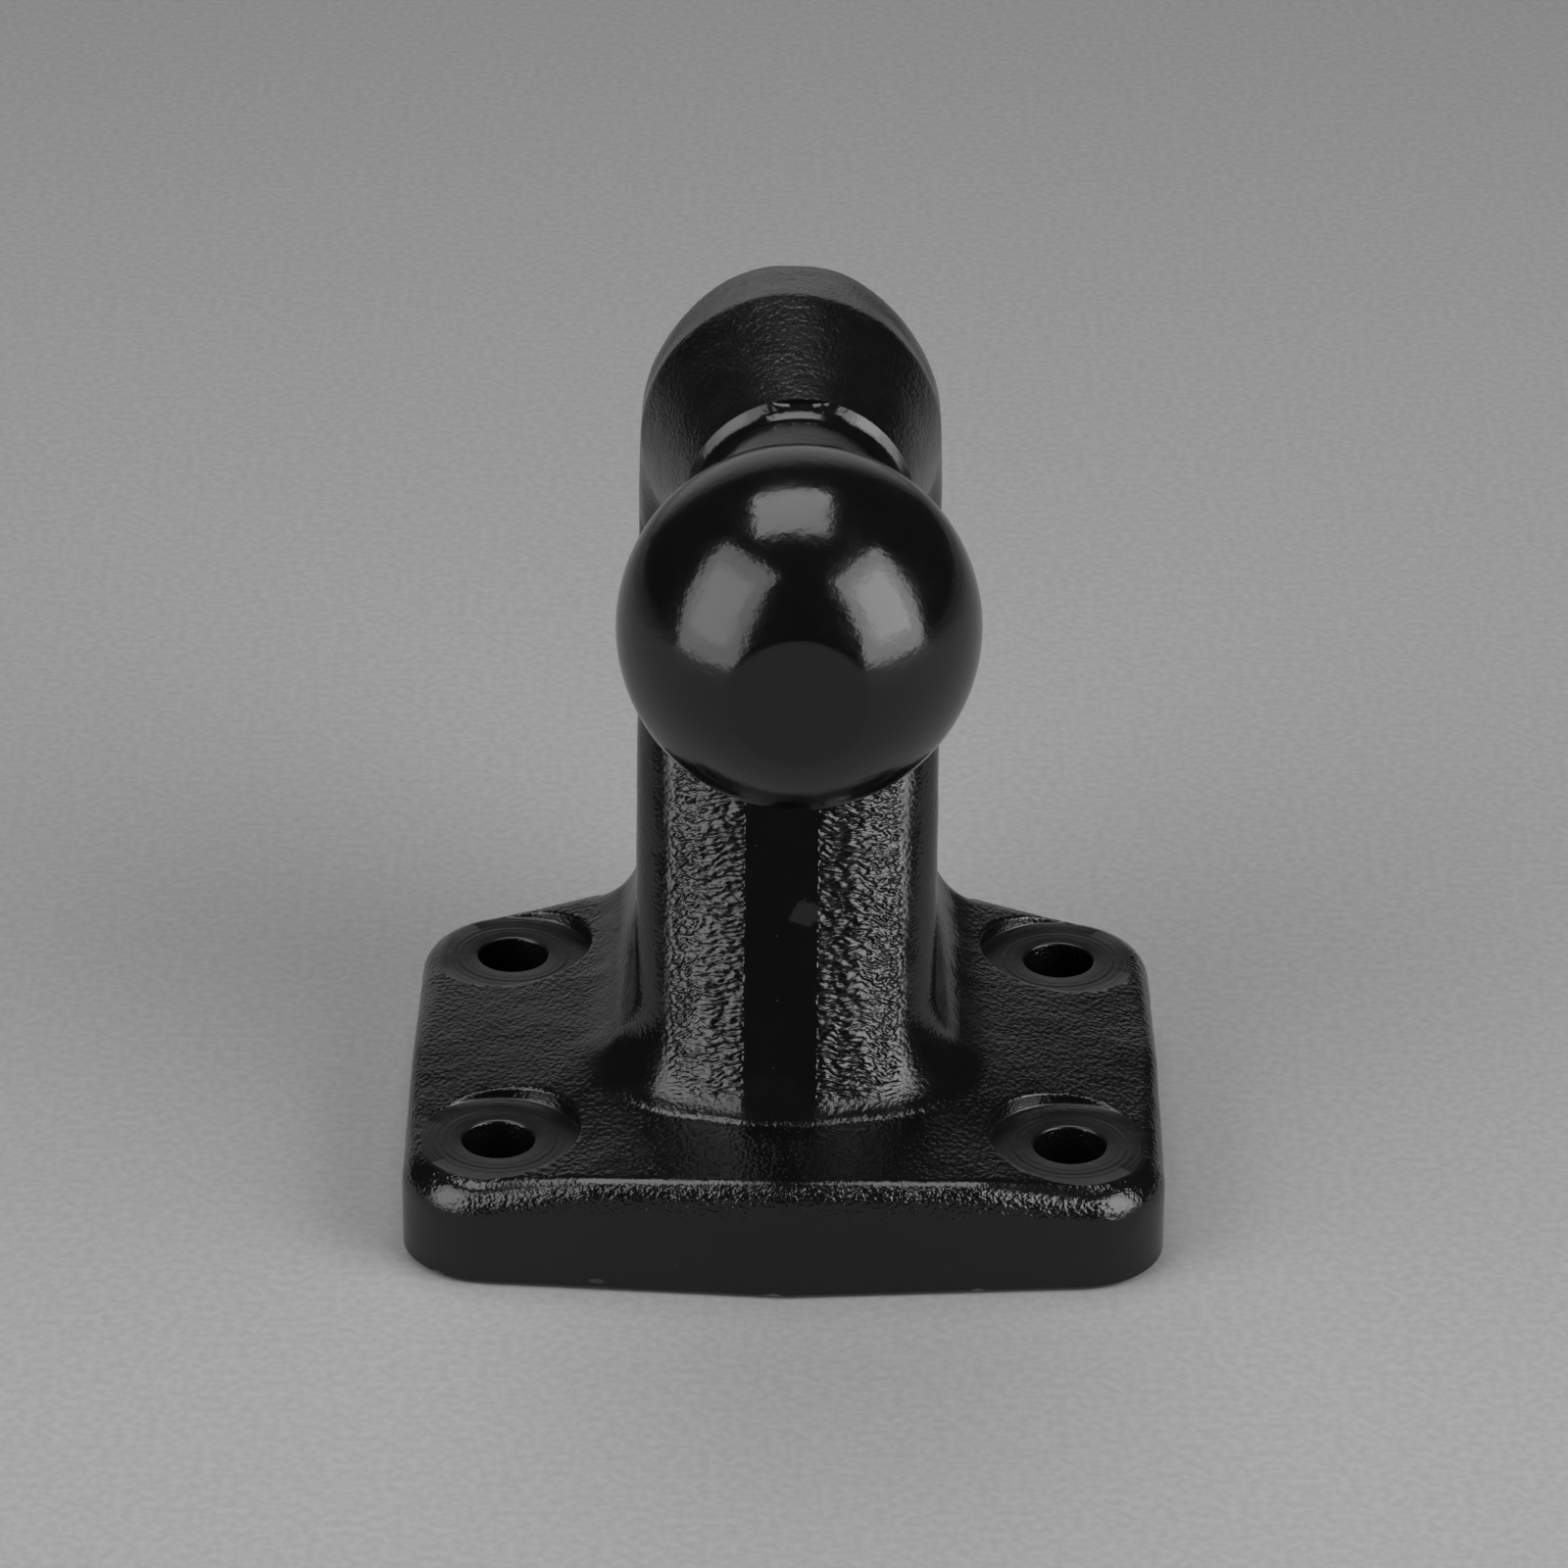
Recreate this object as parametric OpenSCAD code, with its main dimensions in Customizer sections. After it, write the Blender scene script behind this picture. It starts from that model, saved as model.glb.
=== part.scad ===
// Flange-mounted tow ball, drop forged in one piece.
// The die parts on the middle plane x = 0, so every forged wall leans away from it.
// Origin: centre of the bolt pattern, on the mounting face. The ball reaches towards -Y.

/* [Ball and turned end] */
// Diameter of the coupling ball
ball_d = 50; // [40:0.5:56]
// Width of the flat faced on the tip of the ball
ball_flat_d = 18.4; // [8:0.2:24]
// Height of the ball's centre over the mounting face
ball_height = 110; // [100:0.5:135]
// Reach of the ball's centre in front of the bolt pattern's centre
ball_reach = 51.5; // [46:0.5:65]
// Sideways shift of the turned end from the forging's middle plane
turned_shift = 1.3; // [-2:0.1:2]
// Diameter of the turned neck behind the ball
neck_d = 29; // [24:0.5:30]
// Radius of the blend between ball and neck
neck_blend_r = 3; // [1:0.5:5]
// Distance from the ball's centre to where the neck starts to flare
flare_start = 33; // [29:0.5:35]
// Length of the concave flare up to the collar
flare_length = 6; // [4:0.5:8]
// Diameter of the turned collar
collar_d = 31.8; // [30:0.2:34]
// Width of the collar's bare cylinder in front of the forged stub
collar_land = 0.5; // [0.4:0.1:3]
// Depth of the trimmed flash flats above and below the collar
collar_flat_cut = 0.35; // [0:0.05:1]

/* [Forged stub and elbow] */
// Height of the step from the collar up to the tapered stub's end
stub_step = 0.3; // [0.2:0.1:1]
// Diameter of the tapered stub at its base on the elbow
stub_base_d = 42.9; // [38:0.1:46]
// Length of the tapered stub
stub_length = 21; // [14:0.5:26]
// Outer bend radius of the elbow
elbow_r = 25; // [22:0.5:32]
// Flat run on top, between the stub's base and the elbow's bend
elbow_run = 9.8; // [3:0.1:12]
// Radius of the throat under the stub
throat_r = 3.5; // [2:0.5:6]

/* [Forged neck] */
// Width of the neck
neck_w = 43.8; // [38:0.2:50]
// Corner radius of the neck's section
neck_corner_r = 12.8; // [8:0.2:16]
// Corner radius at the neck's back where it stands on the flange
foot_back_r = 4; // [3:0.5:8]
// Draft of the neck's front and back faces
neck_draft = 7; // [3:0.5:10]
// Width of the trimmed flash land down the neck's front and back
flash_land = 11.4; // [4:0.2:14]
// Distance of the neck's front face from the pattern's centre, at the flange
neck_front = 29; // [24:0.5:34]
// Fillet radius between the neck's sides and the flange
side_fillet_r = 11; // [6:0.5:13]
// Fillet radius between the neck's front and the flange
front_fillet_r = 8; // [4:0.5:10]
// Fillet radius between the neck's back and the flange's rear edge
back_fillet_r = 1; // [0.5:0.1:1.5]

/* [Flange] */
// Width of the flange
flange_w = 110.8; // [106:0.2:120]
// Depth of the flange at its corners
flange_d = 87; // [84:0.5:96]
// How far the flange's middle lies in front of the bolt pattern's centre
flange_offset = 0.4; // [-2:0.1:2]
// How far the parting line stands out in front and behind
parting_rise = 3.2; // [1:0.1:5]
// Distance of the flange's shoulders from the middle plane
shoulder_x = 28; // [24:0.5:34]
// How far the shoulders stand out in front and behind
shoulder_rise = 1.1; // [0.5:0.1:3]
// Corner radius of the flange in plan
flange_corner_r = 13; // [10:0.5:18]
// Thickness of the flange at its sides
flange_side_t = 15.5; // [13:0.1:17]
// Thickness of the flange at its shoulders, beside the neck
flange_mid_t = 17.5; // [15:0.1:19]
// Thickness of the flange on the parting line
flange_t = 18.6; // [16:0.1:21]
// Rounding of the flange's upper corner edges
corner_edge_r = 5; // [2:0.1:6]
// Rounding of the flange's upper side edges
side_edge_r = 2.6; // [1.5:0.1:4]
// Rounding of the flange's upper front and back edges
front_edge_r = 3; // [1.5:0.1:4]
// Bevel round the mounting face
base_bevel = 0.8; // [0.3:0.1:1.5]

/* [Bolt holes] */
// Spacing of the holes across the flange
hole_spacing_x = 83; // [80:0.5:86]
// Spacing of the holes from front to back
hole_spacing_y = 56; // [52:0.5:60]
// Diameter of the bolt holes
hole_d = 10.5; // [8.5:0.1:13]
// Bevel at both ends of each hole
hole_bevel = 0.5; // [0:0.1:1]
// Diameter of the machined bolt seats
seat_d = 23.8; // [20:0.2:25]
// Height of the bolt seats over the mounting face
seat_t = 15.3; // [13:0.1:16]

/* [Hidden] */
$fn = 96;
eps = 0.01;

// Steps round each corner of the neck's section, and along each run of the loft
corner_steps = 9;
foot_steps = 7;
post_steps = 4;
bend_steps = 12;
stub_steps = 2;
// Angle of the foot fillets that shows above the flange, which leaves them a clean edge
fillet_sweep = 80;
// Depth to which the neck runs on inside the flange, and the turned end inside the stub
foot_depth = 6;
spigot = 4;
// Radius in plan of the flange's rounded ridges and shoulders, and the overrun of each cutter
ridge_r = 6;
overrun = 1;

ball_r = ball_d / 2;
neck_r = neck_d / 2;
collar_r = collar_d / 2;
stub_end_d = collar_d + 2 * stub_step;
tip_back = sqrt(pow(ball_r, 2) - pow(ball_flat_d / 2, 2));
collar_front = flare_start + flare_length;
stub_end_y = collar_front + collar_land - ball_reach;
stub_base_y = stub_end_y + stub_length;
head_top = ball_height + stub_base_d / 2;
back_y = stub_base_y + elbow_run + elbow_r;
taper = (stub_base_d - stub_end_d) / 2 / stub_length;

function mix(a, b, t) = a + (b - a) * t;
function unit(v) = v / norm(v);
function half_turn(a) = a > 180 ? a - 360 : a < -180 ? a + 360 : a;

// Points of the arc of radius r that rounds the corner c of the path p, c, q
function fillet(p, c, q, r, steps) =
    let (u = unit(p - c), w = unit(q - c), half = acos(u * w) / 2,
         o = c + unit(u + w) * r / sin(half),
         from = c + u * r / tan(half) - o, to = c + w * r / tan(half) - o,
         start = atan2(from[1], from[0]),
         turn = half_turn(atan2(to[1], to[0]) - start))
    [for (i = [0 : steps]) o + r * [cos(start + turn * i / steps), sin(start + turn * i / steps)]];

// Points from a to b, without a itself
function run(a, b, steps) = [for (i = [1 : steps]) mix(a, b, i / steps)];

// Radius of the stub's cone at a place along Y
function stub_r(y) = stub_end_d / 2 + (y - stub_end_y) * taper;

// The rails of the neck in [y, z]: its front edge and its back edge, from the flange to the stub's end
throat = [stub_base_y + throat_r, ball_height - stub_r(stub_base_y + throat_r)];
front_foot = [-neck_front, flange_t];
front_end = [stub_end_y, ball_height - stub_end_d / 2];
back_end = [stub_end_y, ball_height + stub_end_d / 2];
crease = [stub_base_y, head_top];
throat_arc = fillet(front_foot, throat, front_end, throat_r, bend_steps + 1);
bend_arc = fillet([back_y, 0], [back_y, head_top], crease, elbow_r, bend_steps);
post_top = side_fillet_r + flange_mid_t;

function front_y(z) = mix(-neck_front, throat[0], (z - flange_t) / (throat[1] - flange_t));
post_front = [front_y(post_top), post_top];
post_back = [back_y, post_top];

front_rail = concat([post_front], run(post_front, throat_arc[0], post_steps),
                    [for (i = [1 : bend_steps + 1]) throat_arc[i]],
                    run(throat_arc[bend_steps + 1], front_end, stub_steps));
back_rail = concat([post_back], run(post_back, bend_arc[0], post_steps),
                   [for (i = [1 : bend_steps]) bend_arc[i]], [crease],
                   run(crease, back_end, stub_steps));

// One quarter of the neck's section from its front land to its side, as [x, depth]:
// a flat land, a face at the draft angle and a corner arc
function quarter(w, d, r, draft, land) =
    let (cx = w - r, tx = cx + r * sin(draft), flat = min(land, tx),
         cy = d - (tx - flat) * tan(draft) - r * cos(draft))
    concat([[flat, d]],
           [for (i = [0 : corner_steps]) let (a = mix(90 - draft, 0, i / corner_steps))
               [cx + r * cos(a), cy + r * sin(a)]]);

// The whole ring, from its front and back rail points, half width, the radii of its front and
// back corners, draft, land and sideways shift
function ring(f, b, w, front_r, back_r, draft, land, shift = 0) =
    let (c = (f + b) / 2, h = (f - b) / 2, d = norm(h), u = h / d,
         q = quarter(w, d, front_r, draft, land), k = quarter(w, d, back_r, draft, land), n = len(q) - 1)
    concat([for (i = [0 : n]) [shift + q[i][0], c[0] + u[0] * q[i][1], c[1] + u[1] * q[i][1]]],
           [for (i = [n : -1 : 0]) [shift + k[i][0], c[0] - u[0] * k[i][1], c[1] - u[1] * k[i][1]]],
           [for (i = [0 : n]) [shift - k[i][0], c[0] - u[0] * k[i][1], c[1] - u[1] * k[i][1]]],
           [for (i = [n : -1 : 0]) [shift - q[i][0], c[0] + u[0] * q[i][1], c[1] + u[1] * q[i][1]]]);

// Rings of the foot, which flare out into the flange: a fillet of three radii, at an angle of its sweep.
// The section's corners grow by half of the fillet's reach beside them.
function foot_ring(sweep) =
    let (rise = 1 - sin(sweep), z = flange_mid_t + side_fillet_r * rise, out = 1 - cos(sweep),
         lift = (flange_t - flange_mid_t) * sweep / 90)
    ring([front_y(z + lift) - front_fillet_r * out, z + lift], [back_y + back_fillet_r * out, z],
         neck_w / 2 + side_fillet_r * out, neck_corner_r + side_fillet_r * out / 2,
         foot_back_r + back_fillet_r * out / 2, neck_draft, flash_land / 2);

// Shape of the section along the bend: from the neck's rounded rectangle to the stub's circle,
// which leans sideways until it meets the turned end
function bend_ring(i) =
    let (up = min(1, i / post_steps), t = max(0, min(1, (i - post_steps) / (bend_steps + 1))),
         s = t * t * (3 - 2 * t), along = max(0, (i - post_steps - bend_steps - 1) / stub_steps),
         r_end = mix(stub_base_d, stub_end_d, along) / 2)
    ring(front_rail[i], back_rail[i], mix(neck_w / 2, r_end, s), mix(neck_corner_r, r_end - eps, s),
         mix(mix(foot_back_r, neck_corner_r, up), r_end - eps, s), mix(neck_draft, 0, s),
         mix(flash_land / 2, eps, s), turned_shift * along);

rings = concat(
    [[for (p = foot_ring(fillet_sweep)) [p[0], p[1], p[2] - foot_depth]]],
    [for (i = [0 : foot_steps - 1]) foot_ring(fillet_sweep * (1 - i / foot_steps))],
    [for (i = [0 : len(front_rail) - 1]) bend_ring(i)]);

// Skin over a list of rings that have the same number of points
module loft(rings) {
    n = len(rings[0]);
    last = len(rings) - 1;
    polyhedron(
        points = [for (r = rings) each r],
        faces = concat(
            [[for (j = [0 : n - 1]) j]],
            [for (i = [0 : last - 1], j = [0 : n - 1]) each let (k = (j + 1) % n)
                [[i * n + j, (i + 1) * n + j, i * n + k], [i * n + k, (i + 1) * n + j, (i + 1) * n + k]]],
            [[for (j = [n - 1 : -1 : 0]) last * n + j]]));
}

// Disc with a rounded upper edge and a bevelled lower one
module puck(r, h, edge_r) {
    rotate_extrude($fn = 72) {
        polygon(concat([[0, 0], [r - base_bevel, 0], [r, base_bevel]],
                       [for (a = [0 : 15 : 90]) [r - edge_r + edge_r * cos(a), h - edge_r + edge_r * sin(a)]],
                       [[0, h]]));
    }
}

// The flange: corners, shoulders beside the neck and the parting line, under one skin
module flange() {
    corner_y = flange_d / 2 - flange_corner_r;
    ridge_y = flange_d / 2 - ridge_r;
    translate([0, -flange_offset, 0]) hull() for (side = [-1, 1], end = [-1, 1]) {
        translate([side * (flange_w / 2 - flange_corner_r), end * corner_y, 0])
            puck(flange_corner_r, flange_side_t, corner_edge_r);
        translate([side * (flange_w / 2 - ridge_r), 0, 0]) puck(ridge_r, flange_side_t, side_edge_r);
        translate([side * shoulder_x, end * (ridge_y + shoulder_rise), 0])
            puck(ridge_r, flange_mid_t, front_edge_r);
        translate([0, end * (ridge_y + parting_rise), 0]) puck(ridge_r, flange_t, front_edge_r);
    }
}

// Half profile of the turned end: x is the radius, y the distance behind the ball's centre
module turned_profile() {
    blend_y = sqrt(pow(ball_r + neck_blend_r, 2) - pow(neck_r + neck_blend_r, 2));
    on_ball = ball_r / (ball_r + neck_blend_r);
    flare_rise = collar_r - neck_r;
    flare_r = (pow(flare_rise, 2) + pow(flare_length, 2)) / 2 / flare_rise;
    intersection() {
        circle(r = ball_r);
        translate([0, -tip_back]) square([ball_r, tip_back + blend_y]);
    }
    difference() {
        polygon([[0, 0], [(neck_r + neck_blend_r) * on_ball, blend_y * on_ball],
                 [neck_r + neck_blend_r, blend_y], [neck_r, blend_y + eps], [0, blend_y + eps]]);
        translate([neck_r + neck_blend_r, blend_y]) circle(r = neck_blend_r);
    }
    translate([0, blend_y]) square([neck_r, collar_front - blend_y]);
    difference() {
        translate([0, flare_start]) square([collar_r, flare_length]);
        translate([neck_r + flare_r, flare_start]) circle(r = flare_r);
    }
    translate([0, collar_front]) square([collar_r, collar_land + spigot]);
}

// The turned end, with the flats that the flash trimming leaves above and below its collar
module turned_end() {
    flat_z = collar_r - collar_flat_cut;
    translate([turned_shift, -ball_reach, ball_height]) difference() {
        rotate([-90, 0, 0]) rotate_extrude() turned_profile();
        for (side = [-1, 1]) translate([0, collar_front + collar_land / 2, side * (flat_z + collar_r / 2)])
            cube([collar_d, collar_land + flare_length, collar_r], center = true);
    }
}

// Bolt hole with its machined seat and a bevel at both ends
module bolt_hole() {
    bevel_d = hole_d + 2 * hole_bevel;
    translate([0, 0, -overrun]) cylinder(d = hole_d, h = flange_t + 2 * overrun);
    translate([0, 0, seat_t]) cylinder(d = seat_d, h = flange_t);
    translate([0, 0, -eps]) cylinder(d1 = bevel_d, d2 = hole_d, h = hole_bevel);
    translate([0, 0, seat_t - hole_bevel]) cylinder(d1 = hole_d, d2 = bevel_d, h = hole_bevel + eps);
}

module flanged_tow_ball() {
    color([0.09, 0.09, 0.1]) difference() {
        union() {
            flange();
            loft(rings);
            turned_end();
        }
        for (x = [-1, 1], y = [-1, 1])
            translate([x * hole_spacing_x / 2, y * hole_spacing_y / 2, 0]) bolt_hole();
    }
}

flanged_tow_ball();
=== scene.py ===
from math import pi, radians

import bpy
import numpy as np
from bpy.props import FloatProperty, FloatVectorProperty, PointerProperty
from mathutils import Matrix, Vector


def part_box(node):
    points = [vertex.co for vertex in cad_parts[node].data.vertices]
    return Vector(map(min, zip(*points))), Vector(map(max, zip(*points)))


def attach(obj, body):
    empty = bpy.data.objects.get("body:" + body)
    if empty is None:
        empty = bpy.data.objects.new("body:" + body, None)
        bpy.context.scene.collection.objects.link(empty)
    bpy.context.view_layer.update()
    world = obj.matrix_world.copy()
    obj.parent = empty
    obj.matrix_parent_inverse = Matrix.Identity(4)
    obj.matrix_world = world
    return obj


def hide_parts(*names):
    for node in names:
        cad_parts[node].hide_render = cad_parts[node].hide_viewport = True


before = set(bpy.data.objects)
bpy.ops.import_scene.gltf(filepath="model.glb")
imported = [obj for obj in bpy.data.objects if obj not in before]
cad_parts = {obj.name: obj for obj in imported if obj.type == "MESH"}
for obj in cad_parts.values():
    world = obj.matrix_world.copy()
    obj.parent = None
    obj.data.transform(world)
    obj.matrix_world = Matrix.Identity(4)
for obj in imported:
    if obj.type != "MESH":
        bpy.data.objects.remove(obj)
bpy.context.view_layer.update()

bl_info = {
    "name": "Forged tow ball",
    "version": (1, 0, 0),
    "blender": (4, 5, 0),
    "location": "View3D > Sidebar > Tow Ball",
    "description": "Builds the black-coated skin of a forged flange tow ball, its stage and its camera",
    "category": "Object",
}

CAD_LOW, CAD_HIGH = (Vector(corner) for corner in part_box("flanged_tow_ball"))


# Properties

def length(name, description, default):
    """A size in metres, shown in the scene's units."""
    return FloatProperty(name=name, description=description, default=default, unit="LENGTH", precision=5)


def share(name, description, default):
    """A value from 0 to 1."""
    return FloatProperty(name=name, description=description, default=default, min=0, max=1, subtype="FACTOR")


def lean(name, description, degrees):
    """An angle, given in degrees."""
    return FloatProperty(name=name, description=description, default=radians(degrees), subtype="ANGLE")


def tint(name, description, default):
    """A colour."""
    return FloatVectorProperty(name=name, description=description, default=default, min=0, max=1,
                               size=3, subtype="COLOR")


class TurnedEndSizes(bpy.types.PropertyGroup):
    """The machined ball, neck and collar"""
    ball_diameter: length("Ball diameter", "Diameter of the coupling ball", 0.050)
    tip_diameter: length("Tip diameter", "Width of the flat faced on the ball's tip", 0.0184)
    height: length("Height", "Height of the ball's centre", 0.110)
    reach: length("Reach", "Distance from the pattern's centre to the ball's", 0.0515)
    shift: length("Shift", "Sideways shift of the turned end", 0.0013)
    neck_diameter: length("Neck diameter", "Diameter of the neck behind the ball", 0.029)
    blend_radius: length("Blend radius", "Radius of the blend between ball and neck", 0.003)
    collar_end: length("Collar end", "Distance from the ball's centre to the collar's back", 0.0395)
    collar_diameter: length("Collar diameter", "Diameter of the turned collar", 0.0323)
    collar_land: length("Collar land", "Width of the collar's bare cylinder", 0.0001)
    flare_sweep: length("Flare radius", "Radius of the flare between neck and collar", 0.0037)
    undercut: length("Undercut", "How far the neck thins towards the flare", 0.0003)
    flat_cut: length("Flat cut", "Depth of the flats on the collar", 0.0005)
    stub_step: length("Stub step", "Height of the step from collar to stub", 0.00005)


class ForgedArmSizes(bpy.types.PropertyGroup):
    """The neck that stands on the flange, its elbow and its tapered stub"""
    width: length("Width", "Width of the neck", 0.0444)
    corner: length("Corner", "Corner radius of the neck's front", 0.0165)
    rear_corner: length("Rear corner", "Corner radius of the neck's back at its foot", 0.0025)
    land: length("Land", "Width of the flash land, front and back", 0.0108)
    land_shift: length("Land shift", "Sideways shift of the flash land", -0.00075)
    land_wander: length("Land wander", "How far the land's edges wander", 0.0003)
    front: length("Front", "Distance of the neck's front from the pattern's centre", 0.0268)
    side_fillet: length("Side fillet", "Fillet between the neck's sides and the flange", 0.011)
    front_fillet: length("Front fillet", "Fillet between the neck's front and the flange", 0.0030)
    rear_fillet: length("Rear fillet", "Fillet between the neck's back and the flange", 0.001)
    back: length("Back", "Distance of the neck's back from the pattern's centre", 0.0438)
    elbow_radius: length("Elbow radius", "Outer bend radius of the elbow", 0.022)
    crown_tilt: lean("Crown tilt", "Fall of the elbow's crown towards the back", 7.5)
    throat_radius: length("Throat radius", "Radius of the throat under the stub", 0.0035)
    throat_depth: length("Throat depth", "Depth of the throat below the ball's centre", 0.0223)
    stub_diameter: length("Stub diameter", "Diameter of the stub at its base", 0.0432)
    stub_length: length("Stub length", "Length of the stub", 0.0245)
    draft: lean("Draft", "Draft of the neck's front faces", 14.5)
    rear_draft: lean("Rear draft", "Draft of the neck's back faces", 5)
    crown_pinch: share("Crown pinch", "How much the elbow narrows at its crown", 0.14)
    crease: length("Crease", "Softness of the crease at the stub's base", 0.0007)
    relief: length("Relief", "Height of the forged skin's waves", 0.00007)


class FlangeSizes(bpy.types.PropertyGroup):
    """The bolt-on flange"""
    width: length("Width", "Width of the flange", CAD_HIGH.x - CAD_LOW.x)
    depth: length("Depth", "Depth of the flange at its corners", 0.087)
    offset: length("Offset", "Shift of the flange to the front", 0.0004)
    corner: length("Corner", "Corner radius in plan", 0.013)
    ridge: length("Ridge", "Radius in plan of ridges and shoulders", 0.006)
    parting_rise: length("Parting rise", "How far the parting line stands out", 0.0032)
    shoulder_place: length("Shoulder place", "Distance of the shoulders from the middle plane", 0.028)
    shoulder_rise: length("Shoulder rise", "How far the shoulders stand out", 0.0011)
    middle_thickness: length("Middle thickness", "Thickness on the parting line", 0.0186)
    shoulder_thickness: length("Shoulder thickness", "Thickness beside the neck", 0.0175)
    side_thickness: length("Side thickness", "Thickness at the sides", 0.0155)
    corner_edge: length("Corner edge", "Rounding of the upper corner edges", 0.0050)
    side_edge: length("Side edge", "Rounding of the upper side edges", 0.0026)
    front_edge: length("Front edge", "Rounding of the upper front edge", 0.0033)
    rear_edge: length("Rear edge", "Rounding of the upper rear edge", 0.0011)
    bevel: length("Bevel", "Bevel round the mounting face", 0.0008)


class BoltHoleSizes(bpy.types.PropertyGroup):
    """The four bolt holes with their machined seats"""
    spacing_x: length("Spacing across", "Spacing of the holes across the flange", 0.083)
    spacing_y: length("Spacing along", "Spacing of the holes from front to back", 0.056)
    diameter: length("Diameter", "Diameter of the bolt holes", 0.0105)
    bevel: length("Bevel", "Bevel at the holes' lower ends", 0.0005)
    seat_diameter: length("Seat diameter", "Diameter of the machined seats", 0.0238)
    seat_height: length("Seat height", "Height of the seats", 0.0153)
    rim: length("Rim", "Rounding of the seat's rim", 0.0004)


class CoatFinish(bpy.types.PropertyGroup):
    """The black coat over the forging"""
    colour: tint("Colour", "Colour of the coat", (0.0026, 0.0026, 0.0027))
    worn: tint("Worn", "Colour of chips and specks", (0.06, 0.06, 0.06))
    forged_gloss: share("Forged roughness", "Roughness over the forged skin", 0.175)
    turned_gloss: share("Turned roughness", "Roughness over the turned end", 0.15)
    peel_height: length("Peel height", "Height of the coat's wrinkles", 0.00018)
    peel_size: length("Peel size", "Distance from wrinkle to wrinkle", 0.00048)


class StageSettings(bpy.types.PropertyGroup):
    """Floor, softboxes and camera"""
    floor_colour: tint("Floor colour", "Colour of the floor", (0.30, 0.30, 0.30))
    distance: length("Camera distance", "Distance of the camera along its view", 1.0642)
    elevation: lean("Elevation", "Tilt of the camera below the horizon", 27.22)
    roll: lean("Roll", "Turn of the camera about its view", 0.58)
    lift: length("Camera lift", "How far above the origin the camera looks", 0.05279)
    focal_length: FloatProperty(name="Focal length", description="Length in millimetres", default=163.17)


# Shapes: a surface is an array of rings, (rings, columns, 3), which run round from the front's middle
# over +X to the back and over -X to the front again

QUARTER_COLUMNS = 68

# Rings in each part of the skin, the wall's height and its rounded edge apart
WALL_RINGS, TOP_RINGS, FOOT_RINGS, POST_RINGS, ELBOW_RINGS, STUB_RINGS = (9, 12), 34, 22, 62, 58, 28

# Waves in the forged skin: share of the relief, spacing and seed of each noise
SKIN_WAVES = ((1.0, 0.0075, 3), (0.55, 0.0031, 5), (0.3, (0.0024, 0.0015, 0.0015), 8))

# Share of the front corner radius that the rear corners reach at the elbow
REAR_SHARE = 0.8

# A length as good as none, in metres
TINY = 1e-6


def mix(a, b, t):
    """The value on the way from a to b at a share of it."""
    return a + (b - a) * t


def smooth_step(t):
    """An S-curve from 0 to 1: three times the square less twice the cube."""
    t = np.clip(t, 0, 1)
    return t * t * (3 - 2 * t)


def unit(v):
    """The vector over its own length."""
    return v / np.linalg.norm(v)


def fillet_arc(before, corner, after, radius, along):
    """Points of the arc that rounds a corner of a path in the YZ plane, at shares of its sweep. Its centre
    lies on the corner's bisector, the radius over the sine of half the corner's angle away."""
    before, corner, after = (np.asarray(p, float) for p in (before, corner, after))
    u, w = unit(before - corner), unit(after - corner)
    half = np.arccos(u @ w) / 2
    centre = corner + unit(u + w) * radius / np.sin(half)
    start, end = (corner + v * radius / np.tan(half) - centre for v in (u, w))
    first = np.arctan2(start[1], start[0])
    turn = (np.arctan2(end[1], end[0]) - first + pi) % (2 * pi) - pi
    angle = first + turn * np.asarray(along)
    return centre + radius * np.stack([np.cos(angle), np.sin(angle)], -1)


def quarter_section(width, depth, corner, draft, land, along):
    """A quarter of the arm's section at shares of its length, from the middle of its face to the middle
    of its side: a flat land, a face that falls away at the draft angle, a corner arc and a straight side."""
    width, depth, corner, draft, land = (np.broadcast_to(v, np.shape(depth))[:, None]
                                         for v in (width, depth, corner, draft, land))
    centre_x = width - corner
    tangent_x = centre_x + corner * np.sin(draft)
    land = np.minimum(land, tangent_x)
    centre_y = depth - (tangent_x - land) * np.tan(draft) - corner * np.cos(draft)
    face = (tangent_x - land) / np.cos(draft)
    arc = corner * (pi / 2 - draft)
    place = along * (land + face + arc + centre_y)
    on_face = np.clip(place - land, 0, face)
    on_arc = np.clip(place - land - face, 0, arc)
    on_side = np.maximum(place - land - face - arc, 0)
    angle = pi / 2 - draft - on_arc / corner
    before_arc = place < land + face
    x = np.where(before_arc, np.minimum(place, land) + on_face * np.cos(draft),
                 centre_x + corner * np.cos(angle))
    y = np.where(before_arc, depth - on_face * np.sin(draft), centre_y + corner * np.sin(angle) - on_side)
    return x, y


def four_quarters(front, rear):
    """Whole rings from the values on a front and a rear quarter, as (rings, columns) pairs of x and depth:
    the quarters are mirrored in x, and the rear ones run backwards."""
    (fx, fy), (rx, ry) = front, rear
    x = np.concatenate([fx[:, :-1], rx[:, :0:-1], -rx[:, :-1], -fx[:, :0:-1]], 1)
    depth = np.concatenate([fy[:, :-1], -ry[:, :0:-1], -ry[:, :-1], fy[:, :0:-1]], 1)
    return x, depth


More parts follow.
